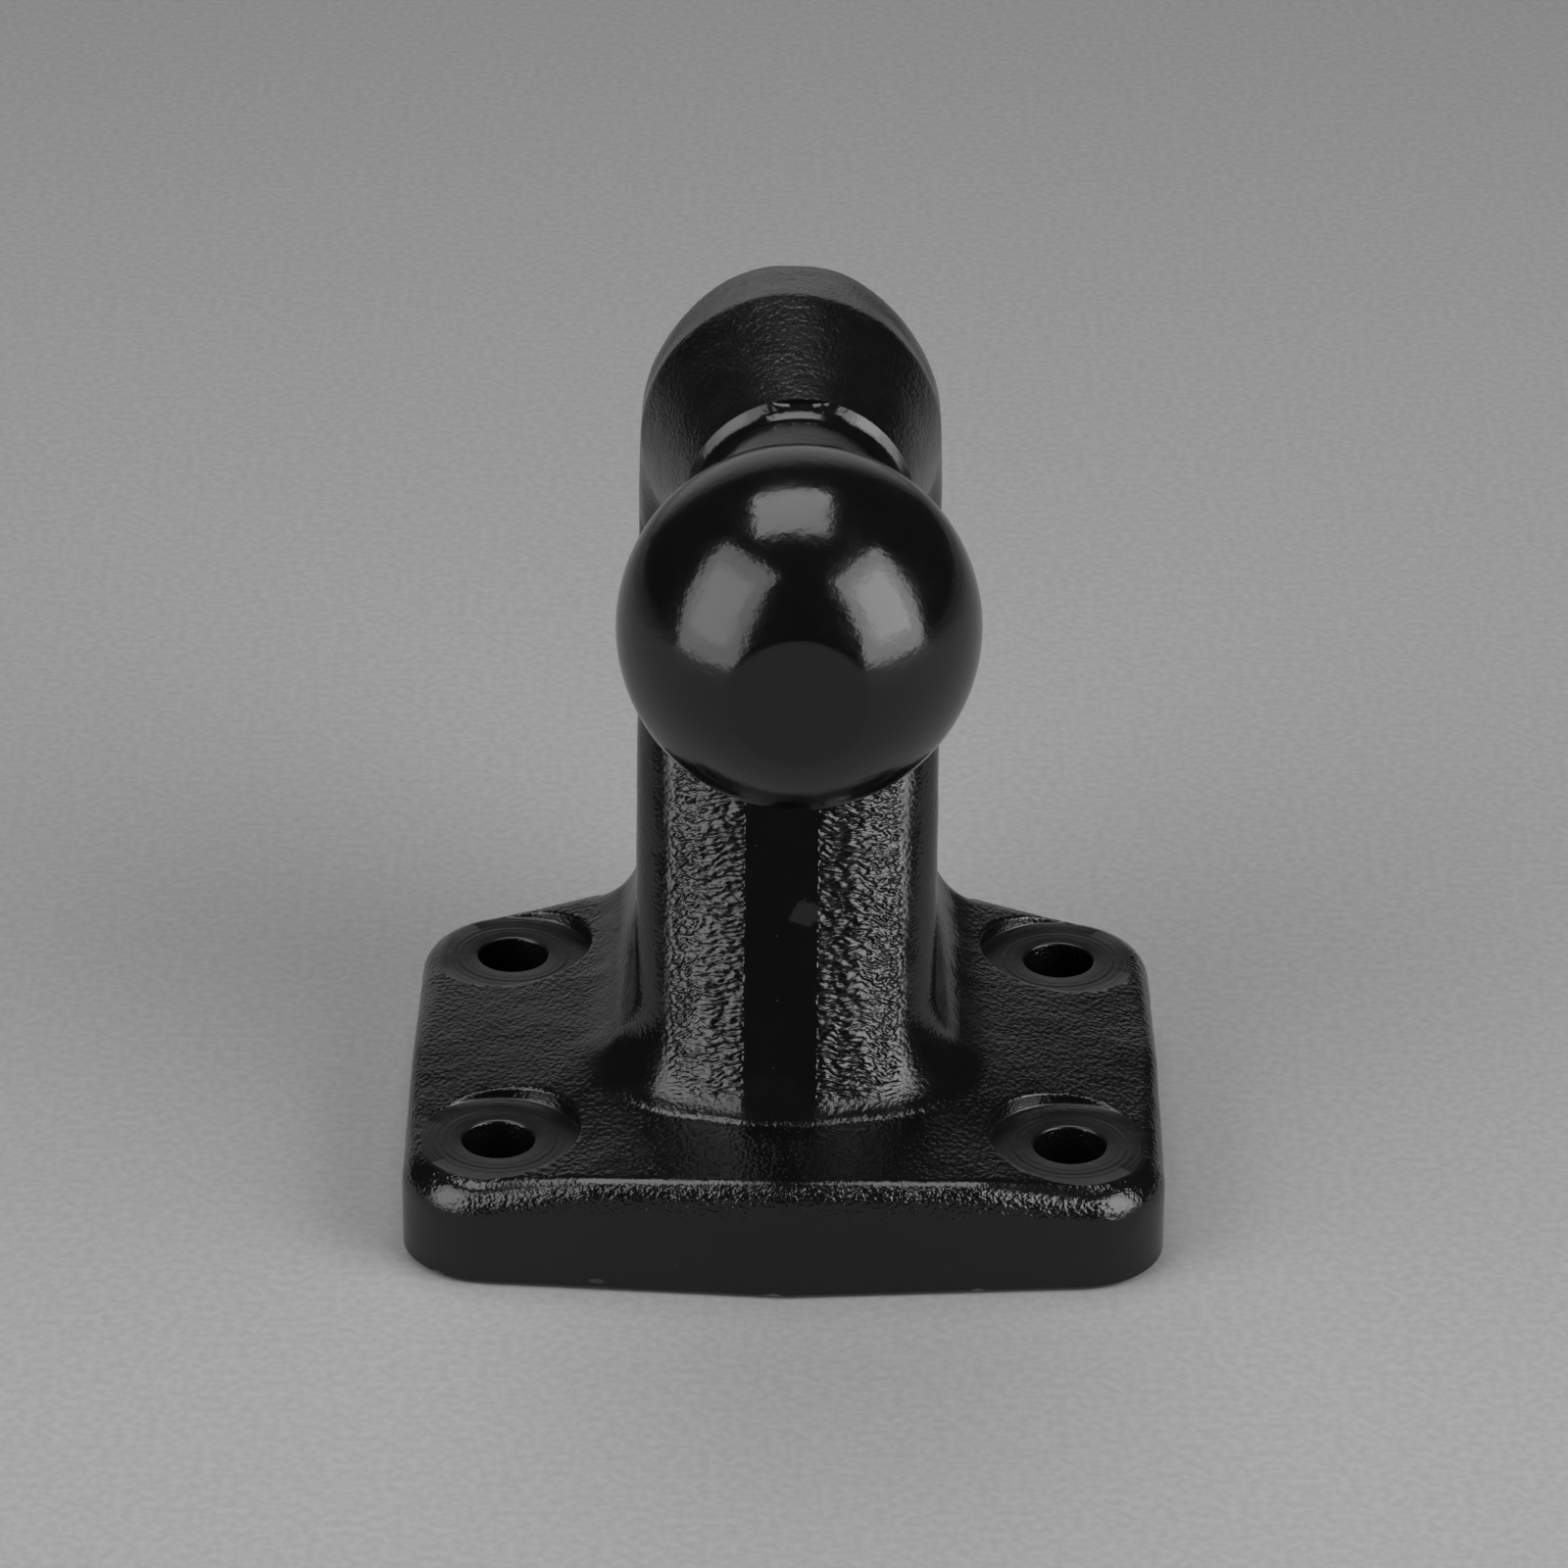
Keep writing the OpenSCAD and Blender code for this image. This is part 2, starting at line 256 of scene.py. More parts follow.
def arm_rings(front, rear, width, front_corner, rear_corner, draft, rear_draft, land, shift):
    """Rings of the arm: each section lies in the plane through X and its front and rear rail points, and
    is centred between them. The other values are one number or one for each ring."""
    along = np.linspace(0, 1, QUARTER_COLUMNS + 1)
    centre, half = (front + rear) / 2, (front - rear) / 2
    depth = np.linalg.norm(half, axis=1)
    toward = half / depth[:, None]
    x, offset = four_quarters(quarter_section(width, depth, front_corner, draft, land, along),
                              quarter_section(width, depth, rear_corner, rear_draft, land, along))
    yz = centre[:, None] + toward[:, None] * offset[..., None]
    return np.concatenate([(x + np.reshape(shift, (-1, 1)))[..., None], yz], -1)


def taut_band(centres, radii, heights):
    """Quarter outlines of a taut band round circles, (rings, columns) arrays of x, depth and height: in
    each direction the band touches the circle that reaches farthest, and its height is that circle's."""
    angle = np.linspace(0, pi / 2, 721)
    normal = np.stack([np.sin(angle), np.cos(angle)])
    later_first = 1e-9 * np.arange(len(centres))[:, None]
    reach = centres @ normal + radii[:, :, None] + later_first
    which = reach.argmax(1)
    rows = np.arange(len(radii))[:, None]
    radius = radii[rows, which]
    x = centres[which, 0] + radius * normal[0]
    depth = centres[which, 1] + radius * normal[1]
    height = heights[rows, which]
    steps = np.hypot(np.diff(x), np.diff(depth))
    place = np.concatenate([np.zeros((len(radii), 1)), np.cumsum(steps, 1)], 1)
    along = np.linspace(0, 1, QUARTER_COLUMNS + 1)
    return tuple(np.stack([np.interp(along * p[-1], p, v) for p, v in zip(place, values)])
                 for values in (x, depth, height))


def flange_quarters(s, steps, rear):
    """Quarter rings of the flange's skin from its mounting face to the top of its edge rounding. Four
    circles carry its plan: the parting ridge, a shoulder, the corner and the side. A bevel, a wall and a
    quarter-circle edge follow each other, and each circle shrinks and rises by its own edge radius."""
    half_depth, half_width = s.depth / 2, s.width / 2
    centres = np.array([[0, half_depth + s.parting_rise - s.ridge],
                        [s.shoulder_place, half_depth + s.shoulder_rise - s.ridge],
                        [half_width - s.corner, half_depth - s.corner],
                        [half_width - s.ridge, 0]])
    radii = np.array([s.ridge, s.ridge, s.corner, s.ridge])
    tops = np.array([s.middle_thickness, s.shoulder_thickness, s.side_thickness, s.side_thickness])
    end_edge = s.rear_edge if rear else s.front_edge
    edges = np.array([end_edge, end_edge, s.corner_edge, s.side_edge])
    wall, edge = (np.linspace(0, 1, n) for n in steps)
    turn = edge[1:, None] * pi / 2
    shrink = np.concatenate([[[s.bevel] * 4], np.zeros((len(wall), 4)), edges * (1 - np.cos(turn))])
    height = np.concatenate([np.zeros((1, 4)), mix(s.bevel, tops - edges, wall[:, None]),
                             tops - edges * (1 - np.sin(turn))])
    return taut_band(centres, radii - shrink, height)


def flange_rings(s, steps):
    """Whole rings of the flange's skin, the front and rear quarters mirrored in x."""
    (fx, fy, fz), (rx, ry, rz) = (flange_quarters(s, steps, rear) for rear in (False, True))
    x, depth = four_quarters((fx, fy), (rx, ry))
    _, z = four_quarters((fx, fz), (rx, -rz))
    return np.stack([x, -s.offset - depth, z], -1)


def arm_rails(arm, turned, flange):
    """Corners and ends of the arm's front and rear rails in the YZ plane, and the stub's radii."""
    stub_end = turned.collar_diameter / 2 + turned.stub_step
    stub_base = arm.stub_diameter / 2
    end_y = turned.collar_end - turned.reach
    base_y = end_y + arm.stub_length
    crown = turned.height + stub_base
    return {
        "foot": np.array([-arm.front, flange.middle_thickness]),
        "throat": np.array([base_y, turned.height - arm.throat_depth]),
        "front_end": np.array([end_y, turned.height - stub_end]),
        "back_end": np.array([end_y, turned.height + stub_end]),
        "crease": np.array([base_y, crown]),
        "bend": np.array([arm.back, crown - (arm.back - base_y) * np.tan(arm.crown_tilt)]),
        "stub_end": stub_end, "stub_base": stub_base,
    }


def front_face(rails, z):
    """Y of the neck's leaning front face at a height."""
    foot, throat = rails["foot"], rails["throat"]
    return mix(foot[0], throat[0], (z - foot[1]) / (throat[1] - foot[1]))


def throat_arc(arm, rails, along):
    """Points of the front rail's arc round the throat, at shares of its sweep."""
    return fillet_arc(rails["foot"], rails["throat"], rails["front_end"], arm.throat_radius, along)


def front_corner(arm, front, rear):
    """The neck's front corner radius, held under 0.9 of each section's half depth."""
    return np.minimum(arm.corner, 0.45 * np.linalg.norm(front - rear, axis=1))


def foot_rings(arm, flange, rails, steps):
    """Rings of the neck's foot, which spreads into the flange: the front, side and rear walls stand out
    by their own fillet's radius times one less the cosine of the sweep, and all sink together."""
    sweep = np.linspace(radians(84), 0, steps)
    out = 1 - np.cos(sweep)
    z = flange.shoulder_thickness + arm.side_fillet * (1 - np.sin(sweep))
    lift = (flange.middle_thickness - flange.shoulder_thickness) * sweep / (pi / 2)
    front = np.stack([front_face(rails, z + lift) - arm.front_fillet * out, z + lift], 1)
    rear = np.stack([arm.back + arm.rear_fillet * out, z], 1)
    return arm_rings(front, rear, arm.width / 2 + arm.side_fillet * out,
                     arm.corner + arm.side_fillet * out / 2, arm.rear_corner + arm.rear_fillet * out / 2,
                     arm.draft, arm.rear_draft, arm.land / 2, 0)


def post_rings(arm, flange, rails, steps):
    """Rings of the straight neck, between the foot and the elbow, along both straight rails."""
    along = np.linspace(0, 1, steps + 1)[1:]
    low = arm.side_fillet + flange.shoulder_thickness
    throat = throat_arc(arm, rails, 0.0)
    bend = fillet_arc([arm.back, 0], rails["bend"], rails["crease"], arm.elbow_radius, 0.0)
    front = mix(np.array([front_face(rails, low), low]), throat, along[:, None])
    rear = mix(np.array([arm.back, low]), bend, along[:, None])
    return arm_rings(front, rear, arm.width / 2, front_corner(arm, front, rear),
                     mix(arm.rear_corner, REAR_SHARE * arm.corner, along), arm.draft, arm.rear_draft,
                     arm.land / 2, 0)


def elbow_rings(arm, rails, steps):
    """Rings of the elbow: the front rail turns round the throat while the rear rail turns round the bend
    and runs on to the crease. The section changes from a rounded rectangle to a circle by an S-curve, and
    its rear half is pinched by half a sine wave along the elbow."""
    along = np.linspace(0, 1, steps + 1)[1:]
    bend_share, round_speed = 0.68, 1.35
    shape = smooth_step(round_speed * along)
    front = throat_arc(arm, rails, along)
    bend = fillet_arc([arm.back, 0], rails["bend"], rails["crease"], arm.elbow_radius,
                      np.minimum(along / bend_share, 1))
    run = np.maximum(along - bend_share, 0) / (1 - bend_share)
    rear = mix(bend, rails["crease"], run[:, None])
    radius = rails["stub_base"]
    rings = arm_rings(front, rear, mix(arm.width / 2, radius, shape),
                      mix(front_corner(arm, front, rear), radius - TINY, shape),
                      mix(REAR_SHARE * arm.corner, radius - TINY, shape), mix(arm.draft, 0, shape),
                      mix(arm.rear_draft, 0, shape), mix(arm.land / 2, TINY, shape), 0)
    middle, half = (front + rear) / 2, (rear - front) / 2
    outward = np.einsum("ijk,ik->ij", rings[..., 1:] - middle[:, None], half)
    outward /= (half ** 2).sum(1)[:, None]
    rings[..., 0] *= 1 - arm.crown_pinch * np.sin(pi * along)[:, None] * smooth_step(outward)
    return rings


def stub_rings(arm, turned, rails, steps):
    """Rings of the tapered stub, a cone that leans sideways until it meets the turned end."""
    along = np.linspace(0, 1, steps + 1)[1:]
    throat_end = throat_arc(arm, rails, 1.0)
    front = mix(throat_end, rails["front_end"], along[:, None])
    rear = mix(rails["crease"], rails["back_end"], along[:, None])
    radius = mix(rails["stub_base"], rails["stub_end"], along)
    return arm_rings(front, rear, radius, radius - TINY, radius - TINY, 0, 0, TINY, turned.shift * along)


# Points on the stub's rounded end
LIP_STEPS = 6


def turned_profile(turned, rails):
    """Radius and distance behind the ball's centre, from the stub's rounded end to the ball's faced tip.
    A cone of 45 degrees leads from the collar to the flare's arc, the neck swells by an S-curve, an arc
    blends it into the ball, and the ball is a circle that ends in a flat."""
    ball, neck, collar = turned.ball_diameter / 2, turned.neck_diameter / 2, turned.collar_diameter / 2
    blend, tip, end = turned.blend_radius, turned.tip_diameter / 2, turned.collar_end
    groove, edge, lip_radius, tip_edge = 0.00004, 0.00003, 0.0001, 0.0002
    lip = pi / 2 * np.arange(1, LIP_STEPS + 1) / LIP_STEPS
    parts = [np.stack([rails["stub_end"] - lip_radius * (1 - np.cos(lip)),
                       end + lip_radius * (1 - np.sin(lip))], 1),
             [[collar - groove, end], [collar - groove, end - groove / 2],
              [collar - edge, end - groove], [collar, end - groove - edge]]]
    turn = np.linspace(pi / 4, 0, 13)
    root, sweep, land_end = neck - turned.undercut, turned.flare_sweep, end - turned.collar_land
    cone = collar - root - sweep * (1 - np.cos(turn[0]))
    start = land_end - cone - sweep * np.sin(turn[0])
    parts.append([[collar - edge, land_end], [collar - cone / 2, land_end - cone / 2]])
    parts.append(np.stack([root + sweep * (1 - np.cos(turn)), start + sweep * np.sin(turn)], 1))
    blend_y = np.sqrt((ball + blend) ** 2 - (neck + blend) ** 2)
    along = np.linspace(0, 1, 12)[1:-1]
    parts.append(np.stack([mix(root, neck, smooth_step(along)), mix(start, blend_y, along)], 1))
    meet = np.arctan2(blend_y, neck + blend)
    turn = np.linspace(0, 1, 9) * meet
    parts.append(np.stack([neck + blend - blend * np.cos(turn), blend_y - blend * np.sin(turn)], 1))
    around = np.linspace(meet, 0.008 - np.arccos(tip / ball), 62)[1:]
    parts.append(ball * np.stack([np.cos(around), np.sin(around)], 1))
    tip_y = -np.sqrt(ball ** 2 - tip ** 2)
    parts.append([[tip - tip_edge / 4, tip_y + tip_edge / 5], [tip - tip_edge, tip_y]])
    parts.append(np.stack([(tip - tip_edge) * np.linspace(1, 0.04, 10)[1:], np.full(9, tip_y)], 1))
    return np.concatenate([np.asarray(part, float) for part in parts])


def turned_rings(turned, rails):
    """Rings of the turned end: circles of the profile's radii about the ball's axis. The collar's upper and
    lower flats are clipped off, and burrs stand out by a noise times a bell curve about the ends of the
    upper flat."""
    burr_height, burr_spacing, burr_seed, burr_start, burr_rise = 0.0004, 0.00085, 12, 0.0022, 0.0012
    profile = turned_profile(turned, rails)
    radius, behind = profile[:, :1], profile[:, 1:]
    angle = 2 * pi * np.arange(4 * QUARTER_COLUMNS) / (4 * QUARTER_COLUMNS)
    x, rise = radius * np.sin(angle), -radius * np.cos(angle)
    collar_radius = turned.collar_diameter / 2
    flat = collar_radius - turned.flat_cut
    chord = np.sqrt(collar_radius ** 2 - flat ** 2)
    bare = (behind > turned.collar_end - 0.003) & (np.arange(len(profile))[:, None] >= LIP_STEPS)
    rise = np.where(bare, np.clip(rise, -flat, flat), rise)
    place = np.stack([x, np.broadcast_to(behind, x.shape), rise], -1)
    burr_width = np.where(x > 0, 0.0017, 0.001)
    near = np.exp(-((np.abs(x) - chord) / burr_width) ** 2) * (rise > 0) * bare
    near = near * smooth_step((behind - turned.collar_end + burr_start) / burr_rise)
    burr = burr_height * np.maximum(lattice_noise(place, burr_spacing, burr_seed), 0) * near
    grow = 1 + burr / collar_radius
    y = np.broadcast_to(behind - turned.reach, x.shape)
    return np.stack([x * grow + turned.shift, y, turned.height + rise * grow], -1)


def lattice_noise(points, spacing, seed):
    """Smooth noise from -1 to 1: random values on a cubic lattice of the given spacing, mixed by
    S-curves. The spacing is one number or one for each axis."""
    size = 32
    table = np.random.default_rng(seed).uniform(-1, 1, (size, size, size))
    place = points / np.asarray(spacing)
    cell = np.floor(place).astype(int)
    part = smooth_step(place - cell)
    total = 0
    for corner in np.ndindex(2, 2, 2):
        index = (cell + corner) % size
        weight = np.prod(np.where(corner, part, 1 - part), -1)
        total = total + weight * table[index[..., 0], index[..., 1], index[..., 2]]
    return total


def shift_land(arm, turned, rings):
    """Rings whose front slides sideways, most at the middle plane and not at the sides: by the land's own
    shift and by a noise along Z, which differs from side to side, and only below the ball."""
    x, y, z = np.moveaxis(rings, -1, 0)
    half = arm.width / 2
    middle = np.clip(1 - (x / half) ** 2, 0, 1) * (y < rings[:, :1, 1] + half)
    edges = np.stack([np.sign(x) * 0.1, 0 * y, z], -1)
    wander = arm.land_wander * lattice_noise(edges, (0.2, 0.2, 0.0032), 21)
    gap, fade = 0.018, 0.006
    below = smooth_step((turned.height - gap - z) / fade)
    slid = x + (arm.land_shift + wander * smooth_step(np.abs(x) / arm.land)) * middle * below
    return np.stack([slid, y, z], -1)


def surface_normals(grid):
    """Unit normals of closed rings: the cross product of the steps round and along them."""
    around = np.roll(grid, -1, 1) - np.roll(grid, 1, 1)
    along = np.gradient(grid, axis=0)
    normal = np.cross(around, along)
    size = np.linalg.norm(normal, axis=-1, keepdims=True)
    return normal / np.maximum(size, 1e-12)


def blur_along(grid, reach):
    """Rings averaged with their neighbours by a bell curve, as far as the reach in rings at each ring."""
    place = np.arange(len(grid))
    weight = np.exp(-0.5 * ((place[:, None] - place) / np.maximum(reach, 1e-3)[:, None]) ** 2)
    weight /= weight.sum(1, keepdims=True)
    return np.einsum("ij,jkl->ikl", weight, grid)


def skin_grid(scene):
    """All rings of the part's skin from the mounting face to the ball's tip, in metres, and the numbers of
    the first rings of the flange's top and of the foot. The top is mixed from the rings beside it, waves
    push the forged skin out along its normals, and all stays within the CAD part's box."""
    turned, arm, flange = scene.turned_end, scene.forged_arm, scene.flange_plate
    rails = arm_rails(arm, turned, flange)
    wall = flange_rings(flange, WALL_RINGS)
    foot = foot_rings(arm, flange, rails, FOOT_RINGS)
    top = mix(wall[-1], foot[0], np.linspace(0, 1, TOP_RINGS + 2)[1:-1, None, None])
    bend = np.concatenate([elbow_rings(arm, rails, ELBOW_RINGS), stub_rings(arm, turned, rails, STUB_RINGS)])
    spacing = arm.stub_length / STUB_RINGS
    from_crease = np.abs(np.arange(len(bend)) - ELBOW_RINGS + 1)
    softness = arm.crease / spacing * np.clip(1.6 - from_crease * spacing / arm.crease / 2, 0, 1)
    post = post_rings(arm, flange, rails, POST_RINGS)
    arm_part = np.concatenate([foot, post, blur_along(bend, softness)])
    forged = np.concatenate([wall, top, shift_land(arm, turned, arm_part)])
    wave = sum(height * lattice_noise(forged, apart, seed) for height, apart, seed in SKIN_WAVES)
    ring = np.arange(len(forged))
    fade = smooth_step((ring - 2) / 3) * smooth_step((len(forged) - 1 - ring) / 3)
    forged = forged + surface_normals(forged) * (wave * fade[:, None])[..., None] * arm.relief
    grid = np.concatenate([forged, turned_rings(turned, rails)])
    return np.clip(grid, CAD_LOW, CAD_HIGH), (len(wall), len(wall) + len(top))


def closed_mesh(name, grid, first_pole, last_pole):
    """A closed mesh over rings: quads between neighbours and a fan at each pole. Its faces are turned
    outwards by the sign of the volume that they enclose."""
    rings, columns = grid.shape[:2]
    points = np.concatenate([grid.reshape(-1, 3), [first_pole, last_pole]])
    index = np.arange(rings * columns).reshape(rings, columns)
    after = np.roll(index, -1, 1)
    quads = np.stack([index[:-1], index[1:], after[1:], after[:-1]], -1).reshape(-1, 4)
    start, end = (np.full(columns, rings * columns + pole) for pole in (0, 1))
    fans = np.array([(start, index[0], after[0]), (end, after[-1], index[-1])])
    fans = fans.transpose(0, 2, 1).reshape(-1, 3)
    corners = points[np.concatenate([quads[:, :3], quads[:, [0, 2, 3]], fans])]
    if np.einsum("ij,ij->", corners[:, 0], np.cross(corners[:, 1], corners[:, 2])) < 0:
        quads, fans = quads[:, ::-1], fans[:, ::-1]
    mesh = bpy.data.meshes.new(name)
    mesh.from_pydata(points.tolist(), [], quads.tolist() + fans.tolist())
    mesh.update()
    return mesh


def seat_cutter(holes, centre, top_points):
    """A closed cutter for one bolt hole and its machined seat: a profile turned round the hole's axis,
    whose rim rises and falls with the flange's top, as the nearest points of the top give it."""
    below, above, bore_edge, gap = 0.004, 0.02, 0.0004, 0.0001
    angle = 2 * pi * np.arange(144) / 144
    seat, bore, bevel, rim = holes.seat_diameter / 2, holes.diameter / 2, holes.bevel, holes.rim
    circle = np.stack([np.cos(angle), np.sin(angle)], 1)
    away = np.linalg.norm((centre + seat * circle)[:, None] - top_points[:, :2], axis=2)
    nearest = np.argpartition(away, 4, axis=1)[:, :4]
    weight = 1 / (np.take_along_axis(away, nearest, 1) + TINY)
    top = (top_points[nearest, 2] * weight).sum(1) / weight.sum(1)
    top = np.maximum(top, holes.seat_height + gap / 5)
    floor = np.full_like(top, holes.seat_height)
    face = np.zeros_like(top)
    low = np.minimum(floor + 3 * gap, mix(floor, top, 0.5))
    rows = [(bore + bevel, face - below), (bore + bevel, face), (bore, face + bevel),
            (bore, floor - bore_edge)]
    rows += [(bore + bore_edge * (1 - np.cos(a)), floor - bore_edge * (1 - np.sin(a)))
             for a in radians(30) * np.arange(1, 3)]
    rows += [(bore + bore_edge, floor), (mix(bore, seat, 0.5), floor), (seat - 3 * gap, floor),
             (seat - gap, floor + gap), (seat, low), (seat, np.maximum(top - rim, low))]
    rows += [(seat + rim * (1 - np.cos(a)), np.maximum(top - rim * (1 - np.sin(a)), low + gap / 10))
             for a in radians(25) * np.arange(1, 3)]
    rows += [(seat + rim * 1.5, np.maximum(top + rim * 0.55, low + gap)), (seat + rim * 1.5, floor + above)]
    grid = np.stack([np.column_stack([centre + radius * circle, z]) for radius, z in rows])
    return closed_mesh("seat_cutter", grid, (*centre, -below), (*centre, holes.seat_height + above))


def put_object(name, data):
    """A new object in the scene's collection."""
    thing = bpy.data.objects.new(name, data)
    bpy.context.scene.collection.objects.link(thing)
    return thing


def cut_seats(piece, holes, top_points):
    """Cuts the four bolt holes out of the piece, and leaves its mesh plain."""
    for side, end in ((-1, -1), (-1, 1), (1, -1), (1, 1)):
        centre = (side * holes.spacing_x / 2, end * holes.spacing_y / 2)
        cutter = put_object("seat_cutter", seat_cutter(holes, centre, top_points))
        cut = piece.modifiers.new("Seat", "BOOLEAN")
        cut.operation, cut.solver, cut.object = "DIFFERENCE", "MANIFOLD", cutter
        whole = bpy.data.meshes.new_from_object(piece.evaluated_get(bpy.context.evaluated_depsgraph_get()))
        piece.modifiers.clear()
        old, piece.data = piece.data, whole
        tool = cutter.data
        bpy.data.objects.remove(cutter)
        for mesh in (old, tool):
            bpy.data.meshes.remove(mesh)


# Materials

class Nodes:
    """A short way to write a node tree: each call adds one node and links or sets its inputs."""

    def __init__(self, tree):
        self.tree = tree

    def add(self, kind, inputs=None, **settings):
        node = self.tree.nodes.new("ShaderNode" + kind)
        for name, value in settings.items():
            setattr(node, name, value)
        for name, value in (inputs or {}).items():
            socket = node.inputs[name]
            if isinstance(value, bpy.types.NodeSocket):
                self.tree.links.new(value, socket)
            else:
                socket.default_value = value
        return node

    def math(self, operation, *values):
        return self.add("Math", dict(enumerate(values)), operation=operation).outputs[0]

    def times(self, first, *others):
        """The product of all values."""
        for other in others:
            first = self.math("MULTIPLY", first, other)
        return first

    def plus(self, first, *others):
        """The sum of all values."""
        for other in others:
            first = self.math("ADD", first, other)
        return first

    def line(self, value, slope, start):
        """The value times the slope, plus the start."""
        return self.math("MULTIPLY_ADD", value, slope, start)

    def away(self, value, centre):
        """How far the value is from the centre, on either side."""
        return self.math("ABSOLUTE", self.math("SUBTRACT", value, centre))

    def vector(self, operation, *values):
        return self.add("VectorMath", dict(enumerate(values)), operation=operation).outputs[0]

    def size(self, vector):
        """The vector's length."""
        return self.add("VectorMath", {0: vector}, operation="LENGTH").outputs["Value"]

    def multiple(self, vector, scale):
        """The vector times one number."""
        return self.add("VectorMath", {0: vector, "Scale": scale}, operation="SCALE").outputs[0]

    def ramp(self, value, low, high, out_low=0.0, out_high=1.0):
        """Maps the value from one range to another with an S-curve."""
        given = {"Value": value, "From Min": low, "From Max": high, "To Min": out_low, "To Max": out_high}
        return self.add("MapRange", given, interpolation_type="SMOOTHSTEP").outputs["Result"]

    def noise(self, vector, scale, detail=2.0, rough=0.5):
        given = {"Vector": vector, "Scale": scale, "Detail": detail, "Roughness": rough}
        return self.add("TexNoise", given).outputs["Fac"]

    def scaled(self, vector, scale):
        """The vector with each axis times its own number."""
        return self.add("Mapping", {"Vector": vector, "Scale": scale}).outputs[0]


def fresh_nodes(owner):
    """The emptied node tree of a material or a world."""
    owner.use_nodes = True
    owner.node_tree.nodes.clear()
    return Nodes(owner.node_tree)


def node_group(name, vectors, numbers, results):
    """An empty shader node group with vector and number inputs and number outputs, with its input and
    output sockets."""
    tree = bpy.data.node_groups.new(name, "ShaderNodeTree")
    for labels, direction, kind in ((vectors, "INPUT", "Vector"), (numbers, "INPUT", "Float"),
                                    (results, "OUTPUT", "Float")):
        for label in labels:
            tree.interface.new_socket(label, in_out=direction, socket_type="NodeSocket" + kind)
    given, result = tree.nodes.new("NodeGroupInput").outputs, tree.nodes.new("NodeGroupOutput").inputs
    return tree, Nodes(tree), given, result


def wrinkle_group():
    """Wrinkled coat over a forged skin. Waves are a noise stretched across the part and bent by a coarser
    one, and pebbles are a rounder noise. Both heights are centred on 0."""
    tree, nodes, given, result = node_group("wrinkled_coat", ["Vector"], ["Size"], ["Waves", "Pebbles"])
    vector = nodes.multiple(given["Vector"], nodes.math("DIVIDE", 1.0, given["Size"]))
    stretched = nodes.scaled(vector, (0.24, 0.92, 0.92))
    bent = nodes.times(nodes.noise(nodes.scaled(vector, (0.12, 0.06, 0.06)), 1.0, 1.0), 3.0)
    moved = nodes.vector("ADD", stretched, nodes.add("CombineXYZ", {"Y": bent, "Z": bent}).outputs[0])
    fine = nodes.noise(moved, 1.0, 0.6, 0.4)
    coarse = nodes.noise(nodes.scaled(vector, (0.2, 0.35, 0.35)), 1.0, 1.0)
    even = nodes.noise(nodes.scaled(vector, (0.7, 0.5, 0.8)), 1.0, 1.2)
    tree.links.new(nodes.math("SUBTRACT", nodes.line(coarse, 0.6, fine), 0.8), result["Waves"])
    tree.links.new(nodes.math("SUBTRACT", even, 0.5), result["Pebbles"])
    return tree


def tool_ring_group():
    """Rings that a tool leaves round the four hole axes: the distance from the nearest axis drives a
    noise in one dimension. It gives their height and a mask of the seats' faces."""
    tree, nodes, given, result = node_group(
        "tool_rings", ["Vector"], ["Spacing X", "Spacing Y", "Seat Radius", "Seat Height", "Pitch"],
        ["Height", "Seat"])
    place = nodes.add("SeparateXYZ", {0: given["Vector"]}).outputs
    squares = []
    for axis in "XY":
        half = nodes.times(given["Spacing " + axis], 0.5)
        offset = nodes.math("SUBTRACT", nodes.math("ABSOLUTE", place[axis]), half)
        squares.append(nodes.times(offset, offset))
    away = nodes.math("SQRT", nodes.plus(*squares))
    turns = nodes.math("DIVIDE", away, given["Pitch"])
    given_noise = {"W": turns, "Scale": 1.0, "Detail": 2.0, "Roughness": 0.6}
    rings = nodes.add("TexNoise", given_noise, noise_dimensions="1D").outputs["Fac"]
    inside = nodes.math("LESS_THAN", away, given["Seat Radius"])
    level = nodes.math("LESS_THAN", nodes.away(place["Z"], given["Seat Height"]), 0.00025)
    tree.links.new(rings, result["Height"])
    tree.links.new(nodes.times(inside, level), result["Seat"])
    return tree


def chip_group():
    """A chip in the coat: its distance from the centre over its size, roughened by a noise."""
    tree, nodes, given, result = node_group("chip", ["Vector", "Centre", "Size"], [], ["Mask"])
    away = nodes.vector("DIVIDE", nodes.vector("SUBTRACT", given["Vector"], given["Centre"]), given["Size"])
    ragged = nodes.line(nodes.noise(given["Vector"], 450.0), 1.6, nodes.size(away))
    tree.links.new(nodes.ramp(ragged, 1.45, 1.75, 1.0, 0.0), result["Mask"])
    return tree


# Chips in the coat: centre, size and the share of coat that is gone
CHIPS = (
    ((0.0027, -0.0131, 0.0448), (0.0026, 0.0040, 0.0022), 0.18),
    ((-0.0010, -0.0471, 0.0006), (0.0024, 0.0020, 0.0006), 1.0),
    ((0.0282, -0.0446, 0.0006), (0.0016, 0.0020, 0.0006), 0.9),
    ((-0.0267, -0.0453, 0.0018), (0.0016, 0.0020, 0.0005), 0.4),
    ((-0.0498, -0.0420, 0.0008), (0.0015, 0.0020, 0.0006), 0.8),
)


